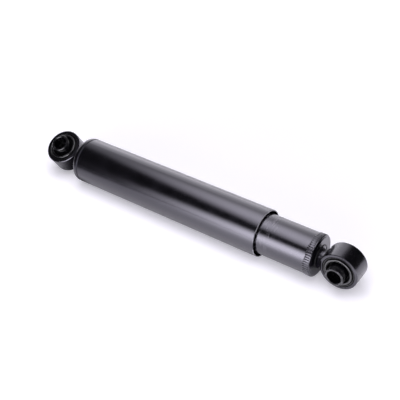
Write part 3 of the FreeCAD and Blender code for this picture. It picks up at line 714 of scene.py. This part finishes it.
# Sleeves: cut lengths of steel tube that the mounting bolts clamp, pressed through the bushes.
# They are sprayed with the rest, and the cut ends have lost some of the film on their edges.
END_STEEL = (0.20, 0.20, 0.215, 1.0)
sleeve_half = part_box("lower_sleeve")[1].y
end_worn_from = sleeve_half - 0.0015
end_worn_full = sleeve_half - 0.0002
end_patch_size = 0.004
end_patch_spread = (0.40, 0.62)
sleeve_smooth, sleeve_coarse = 0.18, 0.25


def worn_sleeve(name, bore, worn):
    """Enamelled steel tube whose cut ends are rubbed towards bare metal by the share worn."""
    made, tree, shader, place = start_material(name)
    skin = place_group(tree, film, Place=place)
    along = place_group(tree, around, Place=place, **bore)["Along"]
    near_end = ramp(tree, along, end_worn_from, end_worn_full, 0.0, worn)
    patch = ramp(tree, soft_noise(tree, place, end_patch_size, detail=3.0, roughness=0.6), *end_patch_spread)
    colour = mix_colours(tree, ramp(tree, skin["Tone"], *tone_spread), ENAMEL_BLACK, ENAMEL_FADED)
    colour = mix_colours(tree, multiplied(tree, near_end, patch), colour, END_STEEL)
    tree.links.new(colour, shader.inputs["Base Color"])
    rough = ramp(tree, skin["Tone"], *gloss_spread, sleeve_smooth, sleeve_coarse)
    tree.links.new(rough, shader.inputs["Roughness"])
    bump = add_node(tree, "ShaderNodeBump", Strength=0.10, Distance=0.0004, Height=skin["Height"])
    tree.links.new(bump.outputs["Normal"], shader.inputs["Normal"])
    shader.inputs["Specular IOR Level"].default_value = 0.6
    shader.inputs["Coat Weight"].default_value = 0.4
    shader.inputs["Coat Roughness"].default_value = 0.18
    shader.inputs["Coat IOR"].default_value = 1.6
    return made


dress(worn_sleeve("lower_sleeve_enamel", LOWER_BORE, worn=0.35), "lower_sleeve")
dress(worn_sleeve("upper_sleeve_enamel", UPPER_BORE, worn=0.05), "upper_sleeve")

# Floor: plain white paper laid flat, lit softly, with the shadow of the part on it.
# Seen only in the gloss of the enamel, as painted reflection, it is brighter at the back and in front
# by the foot of the strip light, and darker at the far end and, as painted shade, close under the two eyes.
floor_level = cad_low.z
floor_half_width = 5.0
floor_half_length = 6.0
laid = bmesh.new()
bmesh.ops.create_grid(laid, x_segments=1, y_segments=1, size=1.0)
bmesh.ops.scale(laid, verts=laid.verts[:], vec=(floor_half_width, floor_half_length, 1.0))
bmesh.ops.translate(laid, verts=laid.verts[:], vec=(0.0, 0.0, floor_level))
floor_mesh = bpy.data.meshes.new("paper_floor")
laid.to_mesh(floor_mesh)
laid.free()
paper_floor = bpy.data.objects.new("paper_floor", floor_mesh)
bpy.context.scene.collection.objects.link(paper_floor)


def sight_of(tree):
    """Shares that tell whether the camera sees a point straight or in the gloss of a piece."""
    path = add_node(tree, "ShaderNodeLightPath").outputs
    in_gloss = work_out(tree, "MAXIMUM", path["Is Glossy Ray"], path["Is Transmission Ray"])
    return path["Is Camera Ray"], in_gloss


PAPER_WHITE = (0.86, 0.855, 0.88, 1.0)
PAPER_SHADED = (0.022, 0.022, 0.026, 1.0)
PAPER_GLOW = (0.95, 0.94, 1.0, 1.0)
# Ramps over the floor: where each starts and ends, and its levels there if they aren't 0 and 1.
back_rise = (-0.8, -2.8, 0.0, 1.4)
back_side = (0.4, 1.4)
front_rise = (0.0, 0.40, 0.0, 2.4)
front_side = (0.10, 0.50, 1.0, 0.0)
front_slant = 0.35
foot_rise = (0.45, 1.15)
foot_side = (0.50, 1.30, 2.4, 0.05)
near_glow = (0.20, 1.20, 0.24, 0.75)
far_glow = (1.2, 3.0, 0.0, 0.35)
far_end_side = (0.30, 0.80)
far_end_front = (-0.10, 0.30)
front_dim = (-0.06, 0.0, 0.0, 0.30)
part_middle = (0.28, 0.0, floor_level)
lower_spot, lower_fade = (0.014, -0.033, floor_level), (0.018, 0.032, 1.0, 0.0)
upper_spot, upper_fade = (0.545, 0.010, floor_level), (0.010, 0.065, 1.0, 0.0)

paper = bpy.data.materials.new("white_paper")
paper.use_nodes = True
tree = paper.node_tree
tree.nodes.remove(tree.nodes["Principled BSDF"])
straight, mirrored = sight_of(tree)
floor_place = add_node(tree, "ShaderNodeTexCoord").outputs["Object"]
floor_axes = axes_of(tree, floor_place)
floor_x, floor_y = floor_axes["X"], floor_axes["Y"]
back_lift = multiplied(tree, ramp(tree, floor_y, *back_rise), ramp(tree, floor_x, *back_side))
slanted = work_out(tree, "SUBTRACT", floor_x, multiplied(tree, floor_y, front_slant))
front_lift = multiplied(tree, ramp(tree, floor_y, *front_rise), ramp(tree, slanted, *front_side))
strip_foot = multiplied(tree, ramp(tree, floor_y, *foot_rise), ramp(tree, floor_x, *foot_side))
gloss_lift = work_out(tree, "ADD", back_lift, work_out(tree, "MAXIMUM", front_lift, strip_foot))
# To the camera the paper also glows, least near the part and more away from it: a painted brightening.
part_away = work_out_vector(tree, "DISTANCE", floor_place, part_middle)["Value"]
plain_lift = work_out(tree, "ADD", ramp(tree, part_away, *near_glow), ramp(tree, part_away, *far_glow))
lift = work_out(tree, "ADD", multiplied(tree, straight, plain_lift), multiplied(tree, mirrored, gloss_lift))
shaded = multiplied(tree, ramp(tree, floor_x, *far_end_side), ramp(tree, floor_y, *far_end_front))
for spot, fade in ((lower_spot, lower_fade), (upper_spot, upper_fade)):
    spot_away = work_out_vector(tree, "DISTANCE", floor_place, spot)["Value"]
    shaded = work_out(tree, "MAXIMUM", shaded, ramp(tree, spot_away, *fade))
shaded = work_out(tree, "MAXIMUM", shaded, ramp(tree, floor_y, *front_dim))
paper_colour = mix_colours(tree, multiplied(tree, mirrored, shaded), PAPER_WHITE, PAPER_SHADED)
matt = add_node(tree, "ShaderNodeBsdfDiffuse", Color=paper_colour)
glowing = add_node(tree, "ShaderNodeEmission", Color=PAPER_GLOW, Strength=lift)
both = tree.nodes.new("ShaderNodeAddShader")
tree.links.new(matt.outputs[0], both.inputs[0])
tree.links.new(glowing.outputs[0], both.inputs[1])
tree.links.new(both.outputs[0], tree.nodes["Material Output"].inputs["Surface"])
floor_mesh.materials.append(paper)

# Studio light: a long low strip in front, a slanted box overhead and a wide soft fill above them.
# Their cloths are brightest near the middle and fade towards the edges.
# The room behind is pale at the horizon and dark overhead, which only the gloss of the enamel sees.
LAMP_WHITE = (0.95, 0.93, 1.0)


def softbox(name, place, turn, width, height, glow, across, along, in_gloss=True):
    """An area lamp with a cloth; across and along tell where the glow is none, full, full and none.

    Both are in shares of the lamp's size, and turn is in degrees.
    """
    lamp = bpy.data.lights.new(name, "AREA")
    lamp.shape = "RECTANGLE"
    lamp.size = width
    lamp.size_y = height
    lamp.color = LAMP_WHITE
    lamp.energy = glow * math.pi * width * height
    lamp.use_nodes = True
    tree = lamp.node_tree
    cloth_axes = axes_of(tree, add_node(tree, "ShaderNodeNewGeometry").outputs["Parametric"])
    level = 1.0
    for axis, (rise, full, fall, none) in (("X", across), ("Y", along)):
        level = multiplied(tree, level, ramp(tree, cloth_axes[axis], rise, full),
                           ramp(tree, cloth_axes[axis], fall, none, 1.0, 0.0))
    tree.links.new(level, tree.nodes["Emission"].inputs["Strength"])
    hung = bpy.data.objects.new(name, lamp)
    hung.location = place
    hung.rotation_euler = [math.radians(angle) for angle in turn]
    hung.visible_camera = False
    hung.visible_glossy = in_gloss
    bpy.context.scene.collection.objects.link(hung)


softbox("front_strip", place=(0.161, 1.30, 0.544), turn=(90.0, 0.0, 180.0),
        width=2.322, height=1.167, glow=6.0,
        across=(0.0, 0.331, 0.914, 1.0), along=(-0.86, 0.554, 0.149, 1.0))
softbox("overhead_box", place=(0.612, -0.197, 1.20), turn=(0.0, 0.0, -57.8),
        width=2.165, height=1.454, glow=2.8,
        across=(0.0, 0.14, 0.382, 1.0), along=(0.0, 0.479, 0.519, 1.0))
softbox("top_fill", place=(-0.30, 0.45, 1.8), turn=(-12.0, -14.0, 0.0),
        width=3.0, height=2.8, glow=1.7,
        across=(0.0, 0.15, 0.85, 1.0), along=(0.0, 0.15, 0.85, 1.0), in_gloss=False)

# Ramps over the room, by the heading of a ray: start, end, and the levels there if they aren't 0 and 1.
wall_height = (math.radians(10.0), math.radians(86.0), 1.35, 0.01)
wall_side = (-0.02, 0.42, 0.01, 1.0)
near_wall_side = (-0.15, -0.60)
near_wall_front = (0.05, 0.55)
near_wall_height = (0.7, 0.1)
room_dim = 0.004
room = bpy.data.worlds.new("studio")
bpy.context.scene.world = room
room.use_nodes = True
tree = room.node_tree
tree.nodes.clear()
straight, mirrored = sight_of(tree)
heading = axes_of(tree, add_node(tree, "ShaderNodeTexCoord").outputs["Generated"])
behind = work_out(tree, "MULTIPLY", heading["Y"], -1.0)
upwards = work_out(tree, "MAXIMUM", heading["Z"], 0.0)
pale_wall = multiplied(tree, ramp(tree, work_out(tree, "ARCTAN2", upwards, behind), *wall_height),
                       ramp(tree, heading["X"], *wall_side))
near_wall = multiplied(tree, ramp(tree, heading["X"], *near_wall_side),
                       ramp(tree, heading["Y"], *near_wall_front),
                       ramp(tree, heading["Z"], *near_wall_height))
walls = multiplied(tree, mirrored, work_out(tree, "ADD", pale_wall, near_wall))
room_level = work_out(tree, "ADD", work_out(tree, "ADD", straight, walls), room_dim)
glow = add_node(tree, "ShaderNodeBackground", Color=(*LAMP_WHITE, 1.0), Strength=room_level)
output = add_node(tree, "ShaderNodeOutputWorld")
tree.links.new(glow.outputs[0], output.inputs["Surface"])

bpy.context.scene.view_settings.view_transform = "Standard"

# Camera: a long lens from the lower eye's side, looking down at the middle of the axis.
# It is rolled a little about its line of sight.
camera_place = Vector((-0.3999, 0.8785, 0.8983))
camera_aim = Vector((0.2778, -0.0066, 0.0066))
camera_roll = math.radians(-3.106)
camera_lens = 75.19
sensor_width = 36.0
lens = bpy.data.cameras.new("camera")
lens.lens = camera_lens
lens.sensor_width = sensor_width
camera = bpy.data.objects.new("camera", lens)
camera.location = camera_place
camera.rotation_mode = "QUATERNION"
level_look = (camera_aim - camera_place).to_track_quat("-Z", "Y")
camera.rotation_quaternion = level_look @ Quaternion((0, 0, 1), camera_roll)
bpy.context.scene.collection.objects.link(camera)
bpy.context.scene.camera = camera
